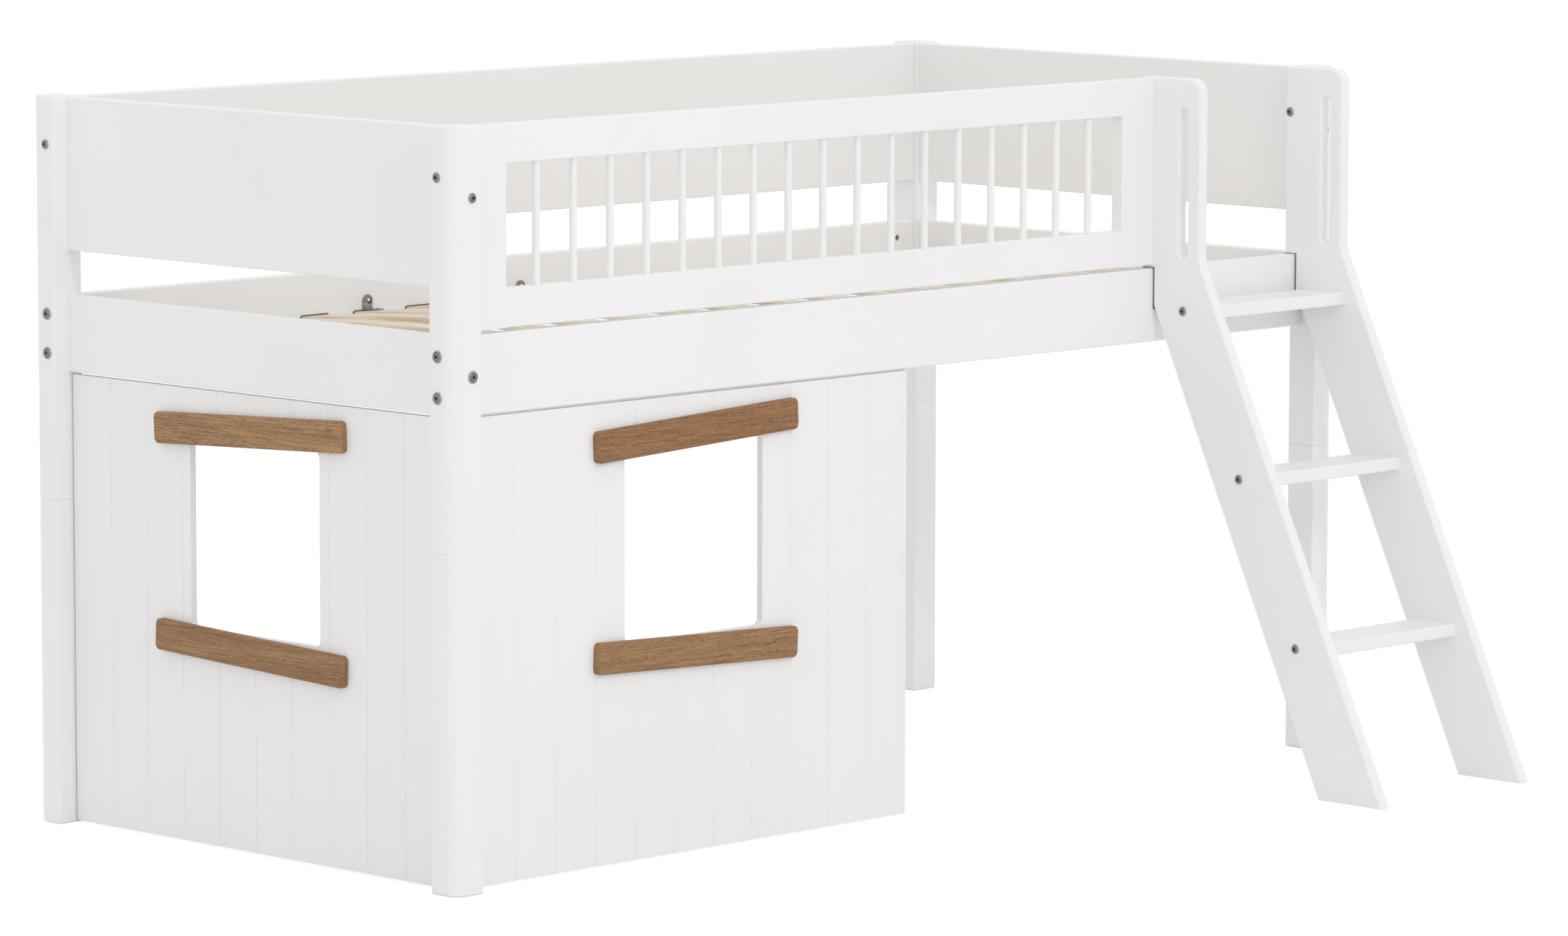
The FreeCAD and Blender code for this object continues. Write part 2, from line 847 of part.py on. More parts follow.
def write_parts():
    """Write each sub-part to its own file."""
    os.makedirs("parts", exist_ok=True)
    for thing in NODES:
        thing.Shape.exportStep(f"parts/{thing.Label}.step")
    print(len(NODES), "sub-parts written")


def main():
    """Build the bed."""
    write_sheet()
    build_posts()
    build_side_rails()
    build_boards()
    build_guard_frame()
    build_balusters()
    build_uprights()
    build_treads()
    build_hooks()
    build_slats()
    build_clips()
    build_panels()
    build_trims()
    build_brackets()
    DOC.recompute()
    check_document()
    write_parts()


main()
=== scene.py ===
"""Mid sleeper bed: finishes, fasteners, light and camera on the CAD frame, in metres."""
import json
import math
from collections import namedtuple

import bmesh
import bpy
from mathutils import Matrix, Vector

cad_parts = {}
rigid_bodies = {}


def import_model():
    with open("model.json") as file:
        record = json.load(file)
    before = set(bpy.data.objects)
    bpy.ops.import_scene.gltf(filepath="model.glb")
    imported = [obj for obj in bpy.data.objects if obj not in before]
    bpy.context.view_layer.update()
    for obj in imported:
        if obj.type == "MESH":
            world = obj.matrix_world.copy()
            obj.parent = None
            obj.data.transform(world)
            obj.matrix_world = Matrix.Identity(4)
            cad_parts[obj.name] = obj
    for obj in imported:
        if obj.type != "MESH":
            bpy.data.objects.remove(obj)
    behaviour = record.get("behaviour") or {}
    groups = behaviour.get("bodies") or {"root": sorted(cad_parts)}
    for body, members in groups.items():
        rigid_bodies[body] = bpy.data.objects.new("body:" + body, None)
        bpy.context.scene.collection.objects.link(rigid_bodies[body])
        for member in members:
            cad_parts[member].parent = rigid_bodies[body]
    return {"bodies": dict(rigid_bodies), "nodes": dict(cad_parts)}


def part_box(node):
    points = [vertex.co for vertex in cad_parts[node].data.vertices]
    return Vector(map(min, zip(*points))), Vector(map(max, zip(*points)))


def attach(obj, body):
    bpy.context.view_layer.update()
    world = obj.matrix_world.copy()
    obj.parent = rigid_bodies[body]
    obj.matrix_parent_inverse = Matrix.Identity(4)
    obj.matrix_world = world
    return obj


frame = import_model()

MM = 0.001

# Camera at the photograph's viewing angle
CAMERA_PLACE = (-8.4852, -8.2603, 2.0090)
CAMERA_TARGET = (-0.3269, -0.2625, 0.6122)
CAMERA_LENS = 163.7
CAMERA_SENSOR = 36.0
CAMERA_ROLL = math.radians(0.106)
CAMERA_REACH = 300.0

# Studio
FLOOR_HALF = 60.0
FLOOR_GLOW = 0.88
FLOOR_SHADE = (0.17, 0.17, 0.17, 1.0)
FLOOR_WHITE = (0.92, 0.92, 0.92, 1.0)
SKY_LIGHT = 0.864
WHITE = (1.0, 1.0, 1.0, 1.0)
KEY_PLACE = (-2.0, -9.0, 5.5)
KEY_TARGET = (0.0, 0.0, 0.6)
KEY_SIZE = 2.6
KEY_POWER = 104.0

# Soft edges of the CAD nodes; reach and widths are in metres
WELD_REACH = 0.01 * MM
EDGE_ANGLE = math.radians(33)
SHARP_ANGLE = math.radians(42)
EDGE_WIDTH = 1.1 * MM
GUARD_EDGE_WIDTH = 0.35 * MM
PANEL_EDGE_WIDTH = 0.25 * MM
SLAT_EDGE_WIDTH = 2.4 * MM
METAL_EDGE_WIDTH = 0.3 * MM
CLIP_EDGE_WIDTH = 0.8 * MM
EDGE_STEPS = 3
NORMAL_WEIGHT = 70

# Directions
LEFT = Vector((-1, 0, 0))
RIGHT = Vector((1, 0, 0))
FRONT = Vector((0, -1, 0))
BACK = Vector((0, 1, 0))
DOWN = Vector((0, 0, -1))

Box = namedtuple("Box", "low high middle")
Ring = namedtuple("Ring", "radius height shape finish")
Metal = namedtuple("Metal", "tones roughness scratch")


def corners(name):
    """Lowest corner, highest corner and middle of a CAD node, in millimetres."""
    low, high = (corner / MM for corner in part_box(name))
    return Box(low, high, (low + high) / 2)


def all_corners(prefixes):
    """Corners of the CAD nodes whose names start alike, in the order of their names."""
    return [corners(name) for name in sorted(frame["nodes"]) if name.startswith(prefixes)]


# CAD nodes that carry the small parts, in millimetres
SLAT_PREFIXES = ("slat_0", "slat_1")
POST_FRONT = corners("post_front_right")
POST_BACK = corners("post_back_right")
RAIL_FRONT = corners("side_rail_front")
RAIL_BACK = corners("side_rail_back")
BACK_BOARD = corners("back_board")
END_RAIL = corners("end_rail_right")
GUARD_STILE = corners("guard_stile_right")
UPRIGHT_LEFT = corners("ladder_upright_left")
UPRIGHT_RIGHT = corners("ladder_upright_right")
TREADS = all_corners("ladder_tread_")
SLATS = all_corners(SLAT_PREFIXES)
CLIPS = corners("slat_clips")
PANEL_END = corners("play_panel_end")
PANEL_FRONT = corners("play_panel_front")

# Places of the bolts on the posts and the ladder, in millimetres; end insets are by side, -1 or 1 along X
BOLT_INSET = 39.0
END_BOLT_INSETS = {-1: 38.5, 1: 35.5}
FRONT_LINE_Y = POST_FRONT.low.y + BOLT_INSET
BACK_LINE_Y = POST_BACK.high.y - BOLT_INSET
RAIL_BOLT_LEVELS = (RAIL_FRONT.low.z + 31.7, RAIL_FRONT.low.z + 96.1)
END_RAIL_LEVEL = RAIL_FRONT.low.z + 64.5
BOARD_BOLT_LEVEL = BACK_BOARD.high.z - 77.0
END_BOARD_LEVEL = BACK_BOARD.high.z - 108.6
TREAD_BOLT_SHIFT = Vector((0.0, -1.4, 0.9))
LADDER_TOP_LINE_Y = FRONT_LINE_Y + 3.0

# Turned heads, in millimetres; a tilt is the angle between a face's normal and the head's axis
ROUND_STEPS = 48
RIM_STEPS = 6
RIM_START = math.radians(72)
RIM_END = math.radians(22)
DOME_START = math.radians(84)
DOME_END = math.radians(12)
HEAD_SINK = 0.4

# Places in the list of a head's materials
BODY = 0
RECESS = 1
# The bolts' lighter rim: polish, and partly a painted highlight
POLISHED_SHEEN = 2

# Bolt heads, in millimetres; the socket's edge is given from the socket's radius and the flat top
BIG_BOLT_RADIUS = 10.0
SMALL_BOLT_RADIUS = 8.25
RIM_FOOT = 0.3
RIM_WIDTH = 2.05
GROOVE_WIDTH = 0.35
GROOVE_DEPTH = 0.2
GROOVE_SLOPE = 0.1
TOP_ROUNDING = 0.7
SOCKET_RADIUS = 2.9
SOCKET_EDGE = ((0.4, 0.04), (0.15, 0.0))
SOCKET_DROP = 0.16
SOCKET_TAPER = 0.1
SOCKET_FLOOR = 0.9

# Barrel nuts in cross bores, in millimetres; outlines are (radius, height above the face)
BORE_RADIUS = 5.6
BORE_DEPTH = 4.0
NUT_RADIUS = 5.3
NUT_OUTLINE = ((NUT_RADIUS, -3.6), (NUT_RADIUS, -2.9), (4.9, -2.6), (3.5, -2.55))
NUT_SLOT = ((3.3, -2.6), (3.2, -3.1))
NUT_INSET = 42.0
SHORT_NUT_INSET = 35.0

# Screws with a cross recess, in shares of a head's radius or height; the drop is in millimetres
SCREW_CROWN = 0.62
SCREW_SHOULDER = 0.35
CROSS_TOP_RADIUS = 0.56
CROSS_FLOOR_RADIUS = 0.45
CROSS_FLOOR = 0.4
CROSS_DROP = 0.05

# Flat caps: dark discs of painted shade at the clips, and the painted caps over pins and over one bolt, in
# millimetres
CAP_FOOT = 0.1
CAP_ROUNDING = 0.7
POST_CAP_RADIUS = 8.0
LEG_CAP_RADIUS = 7.0
LEG_CAP_REACH = 43.5

# Dark rings round the slat ends, painted shade of the gap where each slat enters its rail, in millimetres;
# the section is (growth round the slat, rise from the rail)
SLAT_THICKNESS = 8.0
SLAT_CORNER = 2.4
SLAT_ENTRY_RISE = 4.76
CORNER_STEPS = 6
SHADE_RING_WIDTH = 2.6
SHADE_RING_LENGTH = 1.8
SHADE_RING_SINK = 0.2
SHADE_RING_LAP = 0.1
SHADE_RING_SECTION = (
    (SHADE_RING_WIDTH, -SHADE_RING_SINK),
    (SHADE_RING_WIDTH, 0.5 * SHADE_RING_LENGTH),
    (0.85 * SHADE_RING_WIDTH, 0.85 * SHADE_RING_LENGTH),
    (0.6 * SHADE_RING_WIDTH, SHADE_RING_LENGTH),
    (0.25 * SHADE_RING_WIDTH, SHADE_RING_LENGTH),
    (-SHADE_RING_LAP, 0.85 * SHADE_RING_LENGTH),
    (-SHADE_RING_LAP, -SHADE_RING_SINK),
)

# Screws of the slat clips, and dark discs beside them that are painted shade of the holes, in millimetres
CLIPPED_SLATS = (3, 6, 9)
SLAT_TILT = math.radians(5.5)
CLIP_THICKNESS = 2.0
CLIP_FOOT_REACH = 19.0
CLIP_FOOT_RISE = 3.85
CLIP_SCREW_DROP = 10.65
CLIP_SCREW_RADIUS = 3.5
CLIP_SCREW_HEIGHT = 3.2
CLIP_SCREW_SHIFT = Vector((1.6, 0.0, 1.0))
CLIP_SHADE_DISC_RADIUS = 5.2
CLIP_SHADE_DISC_SHIFT = Vector((3.8, 0.0, 0.0))

# Brackets behind the panels, in millimetres
BRACKET_THICKNESS = 3.0
BRACKET_RISES = (65.0, 459.0)
BRACKET_HOLES = (15.5, 33.0)
RAIL_BRACKET_INSETS = (555.0, 255.0)
BRACKET_SCREW_RADIUS = 4.0
BRACKET_SCREW_HEIGHT = 1.6
PAINTED_ANGLE_LEVEL = RAIL_FRONT.low.z - 57.5

# Soft strip over the front panel, in millimetres; its ends are (inset, shrink) of each section
SEAL_DEPTH = 5.0
SEAL_HEIGHT = 3.9
SEAL_CORNER = 1.6
SEAL_INSET = 1.5
SEAL_LINE = 5.0
SEAL_ENDS = ((0.0, 0.7), (0.7, 0.2), (1.4, 0.0))

# Tones of each finish, from dark to light
LACQUER_TONES = ((0.917, 0.917, 0.917), (0.943, 0.943, 0.943))
PANEL_TONES = ((0.913, 0.913, 0.913), (0.939, 0.939, 0.939))
SEAL_PALE = ((0.800, 0.800, 0.798), (0.880, 0.880, 0.878))
# Near black in the recesses of sockets, slots and crosses: dark steel, and partly painted shade of deeper
# recesses
SOCKET_SHADE = ((0.020, 0.020, 0.021), (0.042, 0.042, 0.044))
# Dark grey of the rings round the slat ends: painted shade
SHADE_RING_GREY = ((0.110, 0.110, 0.113), (0.180, 0.180, 0.184))
ZINC = ((0.520, 0.525, 0.535), (0.640, 0.645, 0.655))
OAK_PALE = ((0.253, 0.132, 0.056), (0.395, 0.225, 0.106), (0.499, 0.302, 0.151))
OAK_BROWN = ((0.226, 0.112, 0.047), (0.349, 0.191, 0.088), (0.456, 0.267, 0.131))
OAK_RED = ((0.209, 0.094, 0.038), (0.324, 0.161, 0.070), (0.423, 0.225, 0.104))
OAK_GOLD = ((0.230, 0.117, 0.048), (0.359, 0.198, 0.090), (0.454, 0.265, 0.129))
BIRCH = ((0.692, 0.543, 0.376), (0.811, 0.696, 0.543), (0.872, 0.768, 0.637))

# Single colours, and how far the painted shade in the panels' grooves looks for the opposite wall
OAK_PORE = (0.085, 0.042, 0.019, 1.0)
BIRCH_KNOT = (0.330, 0.180, 0.080, 1.0)
PAINTED_GROOVE_SHADE = (0.52, 0.52, 0.52, 1.0)
GROOVE_REACH = 4.0 * MM

# Metals: tones from dark to light, least and most roughness, strength of the scratches
HOOK_STEEL = Metal(((0.300, 0.301, 0.305), (0.400, 0.401, 0.406)), (0.34, 0.52), 0.15)
CLIP_CHROME = Metal(((0.240, 0.236, 0.228), (0.470, 0.465, 0.452)), (0.10, 0.20), 0.05)
# Clip screws much lighter than the clips: chrome, and partly a painted highlight
CLIP_SCREW_CHROME_HIGHLIGHT = Metal(((0.780, 0.780, 0.775), (0.900, 0.900, 0.895)), (0.08, 0.16), 0.04)
# Near black discs at the clips are painted shade
CLIP_SHADE_DISC_METAL = Metal(((0.020, 0.020, 0.021), (0.040, 0.040, 0.042)), (0.18, 0.30), 0.08)
BRACKET_ZINC = Metal(ZINC, (0.30, 0.46), 0.12)
SCREW_ZINC = Metal(ZINC, (0.24, 0.38), 0.10)
# The rim is lighter than the flat top: polish, and partly a painted highlight
BOLT_RIM_SHEEN = Metal(((0.290, 0.291, 0.294), (0.400, 0.401, 0.405)), (0.15, 0.22), 0.05)
BOLT_STEEL = Metal(((0.180, 0.181, 0.184), (0.250, 0.251, 0.255)), (0.20, 0.30), 0.08)
NUT_STEEL = Metal(((0.300, 0.300, 0.304), (0.420, 0.420, 0.426)), (0.28, 0.42), 0.10)

# Oak trims: node, tilt in degrees, tones
TRIMS = (
    ("trim_end_top", 2.6, OAK_PALE),
    ("trim_end_bottom", -2.2, OAK_BROWN),
    ("trim_front_top", 2.6, OAK_RED),
    ("trim_front_bottom", -2.2, OAK_GOLD),
)


# Shader nodes

def new_material(name):
    """An empty material with one shader."""
    material = bpy.data.materials.new(name)
    material.use_nodes = True
    tree = material.node_tree
    tree.nodes.clear()
    shader = tree.nodes.new("ShaderNodeBsdfPrincipled")
    output = tree.nodes.new("ShaderNodeOutputMaterial")
    tree.links.new(shader.outputs["BSDF"], output.inputs["Surface"])
    return tree, shader, material


def fill(tree, target, values):
    """Links or sets a node's inputs."""
    for key, value in values.items():
        if isinstance(value, bpy.types.NodeSocket):
            tree.links.new(value, target.inputs[key])
        else:
            target.inputs[key].default_value = value


def add_node(tree, kind, values, **settings):
    """One node with its settings and inputs."""
    made = tree.nodes.new(kind)
    for key, value in settings.items():
        setattr(made, key, value)
    fill(tree, made, values)
    return made


def noise(tree, vector, scale=1.0, detail=4.0, roughness=0.55, distortion=0.0):
    """Grey noise."""
    values = {"Vector": vector, "Scale": scale, "Detail": detail,
              "Roughness": roughness, "Distortion": distortion}
    return add_node(tree, "ShaderNodeTexNoise", values).outputs["Fac"]


def stretched(tree, vector, along, across, lengthwise, turn=(0.0, 0.0, 0.0)):
    """Coordinates with one scale across an axis and another along it."""
    scale = [across] * 3
    scale["XYZ".index(along)] = lengthwise
    values = {"Vector": vector, "Scale": scale, "Rotation": turn}
    return add_node(tree, "ShaderNodeMapping", values, vector_type="POINT").outputs["Vector"]


def grain(tree, vector, along, across, lengthwise, turn=(0.0, 0.0, 0.0), **settings):
    """Grey noise drawn out along one axis."""
    return noise(tree, stretched(tree, vector, along, across, lengthwise, turn), **settings)


def ramp(tree, factor, stops):
    """A colour for each level of a factor."""
    made = add_node(tree, "ShaderNodeValToRGB", {"Fac": factor})
    elements = made.color_ramp.elements
    while len(elements) < len(stops):
        elements.new(1.0)
    for element, (position, colour) in zip(elements, stops):
        element.position = position
        element.color = (*colour, 1.0)
    return made.outputs["Color"]


def spread(tree, value, to, span=(0.3, 0.7)):
    """A span of values drawn out to another."""
    values = {"Value": value, "From Min": span[0], "From Max": span[1], "To Min": to[0], "To Max": to[1]}
    return add_node(tree, "ShaderNodeMapRange", values).outputs["Result"]


def times(tree, first, second):
    """Two values multiplied."""
    return add_node(tree, "ShaderNodeMath", {0: first, 1: second}, operation="MULTIPLY").outputs[0]


def weigh(tree, first, second, share):
    """First plus a share of second."""
    both = {0: first, 1: times(tree, second, share)}
    return add_node(tree, "ShaderNodeMath", both, operation="ADD").outputs[0]


def blend_colour(tree, factor, first, second):
    """Two colours mixed, by the sockets that a mix node keeps for colours."""
    sockets = {"factor": 0, "first": 6, "second": 7, "result": 2}
    values = {sockets["factor"]: factor, sockets["first"]: first, sockets["second"]: second}
    made = add_node(tree, "ShaderNodeMix", values, data_type="RGBA")
    return made.outputs[sockets["result"]]


def bump(tree, height, strength, distance):
    """Fine relief."""
    values = {"Height": height, "Strength": strength, "Distance": distance}
    return add_node(tree, "ShaderNodeBump", values).outputs["Normal"]


def object_place(tree):
    """The piece's own coordinates."""
    return add_node(tree, "ShaderNodeTexCoord", {}).outputs["Object"]


# Finishes

def lacquer(name, along):
    """White lacquer on wood: faint grain along one axis, orange peel and slow tone changes."""
    tree, shader, material = new_material(name)
    place = object_place(tree)
    fibre = grain(tree, place, along, across=170.0, lengthwise=5.0, detail=6.0, roughness=0.62)
    cloud = noise(tree, place, scale=2.6, detail=3.0)
    peel = noise(tree, place, scale=620.0, detail=2.0)
    tone = weigh(tree, spread(tree, cloud, to=(0.0, 0.7)), fibre, share=0.3)
    dark, light = LACQUER_TONES
    colour = ramp(tree, tone, ((0.10, dark), (0.85, light)))
    gloss = spread(tree, weigh(tree, fibre, peel, share=0.4), to=(0.33, 0.45), span=(0.5, 0.9))
    relief = weigh(tree, fibre, peel, share=0.35)
    fill(tree, shader, {"Base Color": colour, "Roughness": gloss, "Specular IOR Level": 0.42,
                        "Normal": bump(tree, relief, strength=0.16, distance=0.10 * MM)})
    return material


def panel_lacquer(name):
    """White lacquer sprayed on smooth board: orange peel, slow tone changes and painted shade in the
    grooves.
    """
    tree, shader, material = new_material(name)
    place = object_place(tree)
    cloud = noise(tree, place, scale=2.1, detail=3.0)
    peel = noise(tree, place, scale=480.0, detail=3.0)
    dust = noise(tree, place, scale=1900.0, detail=1.0)
    tone = weigh(tree, spread(tree, cloud, to=(0.0, 0.8)), peel, share=0.2)
    dark, light = PANEL_TONES
    paint = ramp(tree, tone, ((0.10, dark), (0.90, light)))
    # Painted shade: the colour turns grey where an occlusion test finds a near wall, as in the grooves
    hollow = add_node(tree, "ShaderNodeAmbientOcclusion", {"Distance": GROOVE_REACH}, only_local=True)
    depth = spread(tree, hollow.outputs["AO"], to=(0.12, 0.0), span=(0.55, 0.95))
    colour = blend_colour(tree, depth, paint, PAINTED_GROOVE_SHADE)
    gloss = spread(tree, weigh(tree, peel, cloud, share=0.5), to=(0.36, 0.50), span=(0.5, 0.95))
    relief = weigh(tree, peel, dust, share=0.3)
    fill(tree, shader, {"Base Color": colour, "Roughness": gloss, "Specular IOR Level": 0.40,
                        "Normal": bump(tree, relief, strength=0.14, distance=0.10 * MM)})
    return material


def oak(name, along, turn, tones):
    """Oiled oak: slow bands, fine streaks and rows of short dark pores along the trim."""
    tree, shader, material = new_material(name)
    place = object_place(tree)
    bands = grain(tree, place, along, across=42.0, lengthwise=1.6, turn=turn, roughness=0.6, distortion=0.7)
    streaks = grain(tree, place, along, across=520.0, lengthwise=12.0, turn=turn, roughness=0.65)
    rows = grain(tree, place, along, across=190.0, lengthwise=6.0, turn=turn,
                 detail=2.0, roughness=0.5, distortion=0.5)
    pores = grain(tree, place, along, across=760.0, lengthwise=105.0, turn=turn, detail=3.0, roughness=0.6)
    tone = weigh(tree, streaks, bands, share=0.45)
    dark, middle, light = tones
    wood = ramp(tree, tone, ((0.52, dark), (0.72, middle), (0.90, light)))
    dashes = spread(tree, pores, to=(0.0, 0.75), span=(0.46, 0.64))
    depth = times(tree, dashes, spread(tree, rows, to=(0.30, 0.90), span=(0.38, 0.62)))
    colour = blend_colour(tree, depth, wood, OAK_PORE)
    gloss = spread(tree, tone, to=(0.60, 0.44), span=(0.6, 1.1))
    relief = weigh(tree, streaks, depth, share=-0.8)
    fill(tree, shader, {"Base Color": colour, "Roughness": gloss, "Specular IOR Level": 0.36,
                        "Normal": bump(tree, relief, strength=0.40, distance=0.18 * MM)})
    return material


def birch(name, along):
    """Pale planed laths: soft figure, thin darker lines along the grain and a few pin knots."""
    tree, shader, material = new_material(name)
    place = object_place(tree)
    figure = grain(tree, place, along, across=34.0, lengthwise=1.4,
                   detail=3.0, roughness=0.5, distortion=0.8)
    lines = grain(tree, place, along, across=330.0, lengthwise=5.0, roughness=0.65)
    fibre = grain(tree, place, along, across=900.0, lengthwise=18.0, detail=2.0)
    tone = weigh(tree, figure, lines, share=0.9)
    dark, middle, light = BIRCH
    wood = ramp(tree, tone, ((0.74, dark), (0.93, middle), (1.00, light)))
    cells = {"Vector": stretched(tree, place, along, across=7.0, lengthwise=2.6), "Scale": 1.0}
    reach = add_node(tree, "ShaderNodeTexVoronoi", cells).outputs["Distance"]
    knot = spread(tree, reach, to=(0.75, 0.0), span=(0.02, 0.06))
    colour = blend_colour(tree, knot, wood, BIRCH_KNOT)
    gloss = spread(tree, fibre, to=(0.48, 0.62))
    relief = weigh(tree, fibre, lines, share=0.5)
    fill(tree, shader, {"Base Color": colour, "Roughness": gloss, "Specular IOR Level": 0.35,
                        "Normal": bump(tree, relief, strength=0.25, distance=0.12 * MM)})
    return material


def metal(name, finish):
    """Metal with fine scratches and cloudy polish."""
    tree, shader, material = new_material(name)
    place = object_place(tree)
    cloud = noise(tree, place, scale=90.0, detail=3.0)
    grit = noise(tree, place, scale=2400.0, detail=2.0, roughness=0.6)
    lines = grain(tree, place, "Z", across=3200.0, lengthwise=160.0, detail=2.0)
    dark, light = finish.tones
    colour = ramp(tree, weigh(tree, cloud, grit, share=0.35), ((0.45, dark), (0.90, light)))
    polish = weigh(tree, cloud, lines, share=0.5)
    rough = spread(tree, polish, to=finish.roughness, span=(0.5, 1.0))
    relief = weigh(tree, grit, lines, share=0.6)
    fill(tree, shader, {"Base Color": colour, "Roughness": rough, "Metallic": 1.0,
                        "Normal": bump(tree, relief, strength=finish.scratch, distance=0.03 * MM)})
    return material


def moulded(name, tones):
    """Matt surface with a fine texture, for moulded parts and for near black painted shade."""
    tree, shader, material = new_material(name)
    place = object_place(tree)
    cloud = noise(tree, place, scale=60.0, detail=3.0)
    grit = noise(tree, place, scale=1800.0, detail=2.0)
    dark, light = tones
    colour = ramp(tree, weigh(tree, cloud, grit, share=0.3), ((0.45, dark), (0.85, light)))
    rough = spread(tree, grit, to=(0.45, 0.62))
    fill(tree, shader, {"Base Color": colour, "Roughness": rough,
                        "Normal": bump(tree, grit, strength=0.2, distance=0.05 * MM)})
    return material


# Dressing of the CAD nodes

def geometry_group(name):
    """An empty group of geometry nodes with one way in and one way out."""
    group = bpy.data.node_groups.new(name, "GeometryNodeTree")
    group.interface.new_socket("Geometry", in_out="INPUT", socket_type="NodeSocketGeometry")
    group.interface.new_socket("Geometry", in_out="OUTPUT", socket_type="NodeSocketGeometry")
    source = group.nodes.new("NodeGroupInput")
    target = group.nodes.new("NodeGroupOutput")
    return group, source.outputs[0], target.inputs[0]


def shading_group():
    """Smooth shading, with a hard line only where an edge stays steep."""
    group, source, target = geometry_group("smooth_shading")
    smooth = add_node(group, "GeometryNodeSetShadeSmooth", {"Geometry": source})
    angle = group.nodes.new("GeometryNodeInputMeshEdgeAngle").outputs["Unsigned Angle"]
    steep = add_node(group, "FunctionNodeCompare", {0: angle, 1: SHARP_ANGLE},
                     data_type="FLOAT", operation="GREATER_THAN")
    values = {"Geometry": smooth.outputs["Geometry"], "Selection": steep.outputs[0],
              "Shade Smooth": False}
    sharp = add_node(group, "GeometryNodeSetShadeSmooth", values, domain="EDGE")
    group.links.new(sharp.outputs["Geometry"], target)
    return group


def drill_group(name, spots, normal, material):
    """Round bores sunk into a node at some spots of one face."""
    group, source, target = geometry_group(name)
    turn = normal.to_track_quat("Z", "Y").to_euler()
    bores = group.nodes.new("GeometryNodeJoinGeometry")
    for spot in spots:
        size = {"Vertices": ROUND_STEPS, "Radius": BORE_RADIUS * MM, "Depth": 2 * BORE_DEPTH * MM}
        bore = add_node(group, "GeometryNodeMeshCylinder", size)
        place = {"Geometry": bore.outputs["Mesh"], "Translation": Vector(spot) * MM, "Rotation": turn}
        moved = add_node(group, "GeometryNodeTransform", place)
        finish = {"Geometry": moved.outputs["Geometry"], "Material": material}
        painted = add_node(group, "GeometryNodeSetMaterial", finish)
        group.links.new(painted.outputs["Geometry"], bores.inputs[0])
    cut = add_node(group, "GeometryNodeMeshBoolean",
                   {"Mesh 1": source, "Mesh 2": bores.outputs["Geometry"]},
                   operation="DIFFERENCE", solver="EXACT")
    group.links.new(cut.outputs["Mesh"], target)
    return group


def paint_group(name, level, material):
    """Another finish for the faces of a node above one level."""
    group, source, target = geometry_group(name)
    place = group.nodes.new("GeometryNodeInputPosition").outputs["Position"]
    height = add_node(group, "ShaderNodeSeparateXYZ", {"Vector": place}).outputs["Z"]
    above = add_node(group, "FunctionNodeCompare", {0: height, 1: level},
                     data_type="FLOAT", operation="GREATER_THAN")
    values = {"Geometry": source, "Selection": above.outputs[0], "Material": material}
    painted = add_node(group, "GeometryNodeSetMaterial", values)
    group.links.new(painted.outputs["Geometry"], target)
    return group


def soften(piece, width, shading, drilled):
    """Closes the seams between faces, rounds the edges, sinks bores and evens the shading."""
    weld = piece.modifiers.new("closed_seams", "WELD")
    weld.merge_threshold = WELD_REACH
    bevel = piece.modifiers.new("soft_edges", "BEVEL")
    bevel.width = width
    bevel.segments = EDGE_STEPS
    bevel.limit_method = "ANGLE"
    bevel.angle_limit = EDGE_ANGLE
    bevel.use_clamp_overlap = True
    if drilled:
        piece.modifiers.new("cross_bores", "NODES").node_group = drilled
    piece.modifiers.new("smooth_shading", "NODES").node_group = shading
    normals = piece.modifiers.new("even_shading", "WEIGHTED_NORMAL")
    normals.weight = NORMAL_WEIGHT
    normals.keep_sharp = True


def dress(prefixes, material, width, shading, bores=None):
    """One finish for all nodes whose names start alike."""
    for name, piece in frame["nodes"].items():
        if not name.startswith(prefixes):
            continue
        piece.data.materials.clear()
        piece.data.materials.append(material)
        drilled = None
        if bores and name in bores:
            spots, normal = bores[name]
            drilled = drill_group("bores_" + name, spots, normal, material)
        soften(piece, width, shading, drilled)


def dress_wood(shading, bores):
    """White pieces, each with its grain along the piece."""
    upright = lacquer("lacquer_upright", "Z")
    lengthwise = lacquer("lacquer_lengthwise", "X")
    crosswise = lacquer("lacquer_crosswise", "Y")
    panel = panel_lacquer("lacquer_panel")
    dress(("post_", "leg_", "ladder_upright"), upright, EDGE_WIDTH, shading)
    dress(("guard_stile", "guard_balusters"), upright, GUARD_EDGE_WIDTH, shading, bores)
    dress(("guard_top", "guard_bottom"), lengthwise, GUARD_EDGE_WIDTH, shading)
    dress(("side_rail", "back_board", "ladder_tread"), lengthwise, EDGE_WIDTH, shading, bores)
    dress(("end_rail", "end_board"), crosswise, EDGE_WIDTH, shading, bores)
    dress(("play_panel",), panel, PANEL_EDGE_WIDTH, shading)
    dress(SLAT_PREFIXES, birch("birch_slats", "Y"), SLAT_EDGE_WIDTH, shading)


def dress_trims(shading):
    """Oak trims, with the grain along each tilted strip."""
    for name, tilt, tones in TRIMS:
        turn = math.radians(tilt)
        if name.startswith("trim_end"):
            material = oak("oak_" + name, "Y", (turn, 0.0, 0.0), tones)
        else:
            material = oak("oak_" + name, "X", (0.0, turn, 0.0), tones)
        dress((name,), material, EDGE_WIDTH, shading)


